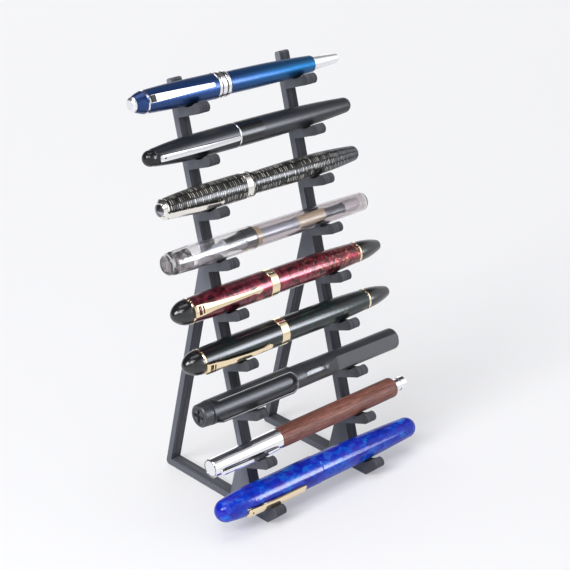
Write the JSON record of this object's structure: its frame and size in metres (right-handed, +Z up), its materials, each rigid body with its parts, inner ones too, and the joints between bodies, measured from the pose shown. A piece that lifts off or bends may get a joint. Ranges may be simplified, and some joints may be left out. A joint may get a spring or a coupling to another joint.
{
  "type": "pen display stand",
  "caption": "Free-standing pen display: leaning A-shaped side frames with rows of hooked cradles, holding capped fountain pens that lift out and uncap.",
  "frame": {"origin": "on the table under the middle of the whole object", "axes": "+X along the pens from their caps to their far ends, +Y from the pens' front to the rear legs, +Z up"},
  "size_m": [0.144, 0.0898, 0.2209],
  "materials": {
    "frame_plastic": "matte, fine print layers",
    "chrome": "polished",
    "gold": "polished",
    "nib_steel": "polished",
    "blue_lacquer": "gloss",
    "satin_black": "satin",
    "gloss_black": "gloss",
    "striped_celluloid": "gloss, cross stripes",
    "smoky_clear": "gloss, see-through",
    "dark_plastic": "gloss",
    "cream_plastic": "satin",
    "red_marble": "gloss, marbled",
    "green_marble": "gloss, marbled",
    "grey_plastic": "matte",
    "dark_wire": "satin",
    "wood": "oiled",
    "blue_marble": "gloss, marbled"
  },
  "bodies": {
    "left_frame_body": {"left_frame": "frame_plastic"},
    "right_frame_body": {"right_frame": "frame_plastic"},
    "blue_pen": {"blue_pen_barrel": "blue_lacquer", "blue_pen_barrel_end": "chrome", "blue_pen_grip": "dark_plastic", "blue_pen_nib": "gold"},
    "blue_pen_cap_unit": {"blue_pen_finial": "chrome", "blue_pen_clip": "chrome", "blue_pen_cap": "blue_lacquer", "blue_pen_cap_band": "chrome"},
    "black_pen": {"black_pen_barrel": "satin_black", "black_pen_grip": "dark_plastic", "black_pen_nib": "nib_steel"},
    "black_pen_cap_unit": {"black_pen_clip": "chrome", "black_pen_cap": "satin_black", "black_pen_cap_ring": "chrome"},
    "striped_pen": {"striped_pen_barrel": "striped_celluloid", "striped_pen_grip": "dark_plastic", "striped_pen_nib": "gold"},
    "striped_pen_cap_unit": {"striped_pen_jewel": "gloss_black", "striped_pen_clip": "chrome", "striped_pen_cap": "striped_celluloid", "striped_pen_cap_band": "chrome"},
    "clear_pen": {"clear_pen_nib_unit": "dark_plastic", "clear_pen_cartridge": "cream_plastic", "clear_pen_barrel": "smoky_clear"},
    "clear_pen_cap_unit": {"clear_pen_cap": "smoky_clear", "clear_pen_inner_cap": "dark_plastic"},
    "red_pen": {"red_pen_barrel": "red_marble", "red_pen_tail_ring": "gold", "red_pen_tail": "gloss_black", "red_pen_nib_unit": "dark_plastic"},
    "red_pen_cap_unit": {"red_pen_cap_end": "gloss_black", "red_pen_clip": "gold", "red_pen_cap": "red_marble", "red_pen_cap_band": "gold"},
    "green_pen": {"green_pen_barrel": "green_marble", "green_pen_tail_ring": "gold", "green_pen_tail": "gloss_black", "green_pen_nib_unit": "dark_plastic"},
    "green_pen_cap_unit": {"green_pen_cap_end": "gloss_black", "green_pen_clip": "gold", "green_pen_cap": "green_marble", "green_pen_cap_band": "gold"},
    "grey_pen": {"grey_pen_barrel": "grey_plastic", "grey_pen_grip": "dark_plastic", "grey_pen_nib": "nib_steel"},
    "grey_pen_cap_unit": {"grey_pen_clip": "dark_wire", "grey_pen_cap": "grey_plastic"},
    "wood_pen": {"wood_pen_barrel": "wood", "wood_pen_barrel_end": "chrome", "wood_pen_grip": "dark_plastic", "wood_pen_nib": "nib_steel"},
    "wood_pen_cap_unit": {"wood_pen_clip": "chrome", "wood_pen_cap": "chrome"},
    "marbled_pen": {"marbled_pen_barrel": "blue_marble", "marbled_pen_grip": "dark_plastic", "marbled_pen_nib": "gold"},
    "marbled_pen_cap_unit": {"marbled_pen_clip": "gold", "marbled_pen_cap": "blue_marble"}
  },
  "joints": [
    {"name": "frame_spacing", "type": "slide", "parent": "left_frame_body", "child": "right_frame_body", "axis": [1, 0, 0], "range_m": [0, 0.012]},
    {"name": "blue_pen_lift", "type": "slide", "parent": "left_frame_body", "child": "blue_pen", "axis": [0, -0.7071, 0.7071], "range_m": [0, 0.045]},
    {"name": "blue_cap_pull", "type": "slide", "parent": "blue_pen", "child": "blue_pen_cap_unit", "axis": [-0.9998, 0, 0.0219], "range_m": [0, 0.05]},
    {"name": "black_pen_lift", "type": "slide", "parent": "left_frame_body", "child": "black_pen", "axis": [0, -0.7071, 0.7071], "range_m": [0, 0.045]},
    {"name": "black_cap_pull", "type": "slide", "parent": "black_pen", "child": "black_pen_cap_unit", "axis": [-1, 0, 0.0078], "range_m": [0, 0.05]},
    {"name": "striped_pen_lift", "type": "slide", "parent": "left_frame_body", "child": "striped_pen", "axis": [0, -0.7071, 0.7071], "range_m": [0, 0.045]},
    {"name": "striped_cap_pull", "type": "slide", "parent": "striped_pen", "child": "striped_pen_cap_unit", "axis": [-0.9999, 0, 0.0113], "range_m": [0, 0.05]},
    {"name": "clear_pen_lift", "type": "slide", "parent": "left_frame_body", "child": "clear_pen", "axis": [0, -0.7071, 0.7071], "range_m": [0, 0.045]},
    {"name": "clear_cap_pull", "type": "slide", "parent": "clear_pen", "child": "clear_pen_cap_unit", "axis": [-1, 0, 0.0085], "range_m": [0, 0.05]},
    {"name": "red_pen_lift", "type": "slide", "parent": "left_frame_body", "child": "red_pen", "axis": [0, -0.7071, 0.7071], "range_m": [0, 0.045]},
    {"name": "red_cap_pull", "type": "slide", "parent": "red_pen", "child": "red_pen_cap_unit", "axis": [-0.9999, 0, 0.0106], "range_m": [0, 0.05]},
    {"name": "green_pen_lift", "type": "slide", "parent": "left_frame_body", "child": "green_pen", "axis": [0, -0.7071, 0.7071], "range_m": [0, 0.045]},
    {"name": "green_cap_pull", "type": "slide", "parent": "green_pen", "child": "green_pen_cap_unit", "axis": [-0.9999, 0, 0.0106], "range_m": [0, 0.05]},
    {"name": "grey_pen_lift", "type": "slide", "parent": "left_frame_body", "child": "grey_pen", "axis": [0, -0.7071, 0.7071], "range_m": [0, 0.045]},
    {"name": "grey_cap_pull", "type": "slide", "parent": "grey_pen", "child": "grey_pen_cap_unit", "axis": [-0.9999, 0, 0.0113], "range_m": [0, 0.05]},
    {"name": "wood_pen_lift", "type": "slide", "parent": "left_frame_body", "child": "wood_pen", "axis": [0, -0.7071, 0.7071], "range_m": [0, 0.045]},
    {"name": "wood_cap_pull", "type": "slide", "parent": "wood_pen", "child": "wood_pen_cap_unit", "axis": [-1, 0, -0.0042], "range_m": [0, 0.05]},
    {"name": "marbled_pen_lift", "type": "slide", "parent": "left_frame_body", "child": "marbled_pen", "axis": [0, -0.7071, 0.7071], "range_m": [0, 0.045]},
    {"name": "marbled_cap_pull", "type": "slide", "parent": "marbled_pen", "child": "marbled_pen_cap_unit", "axis": [-1, 0, 0.0085], "range_m": [0, 0.05]}
  ]
}
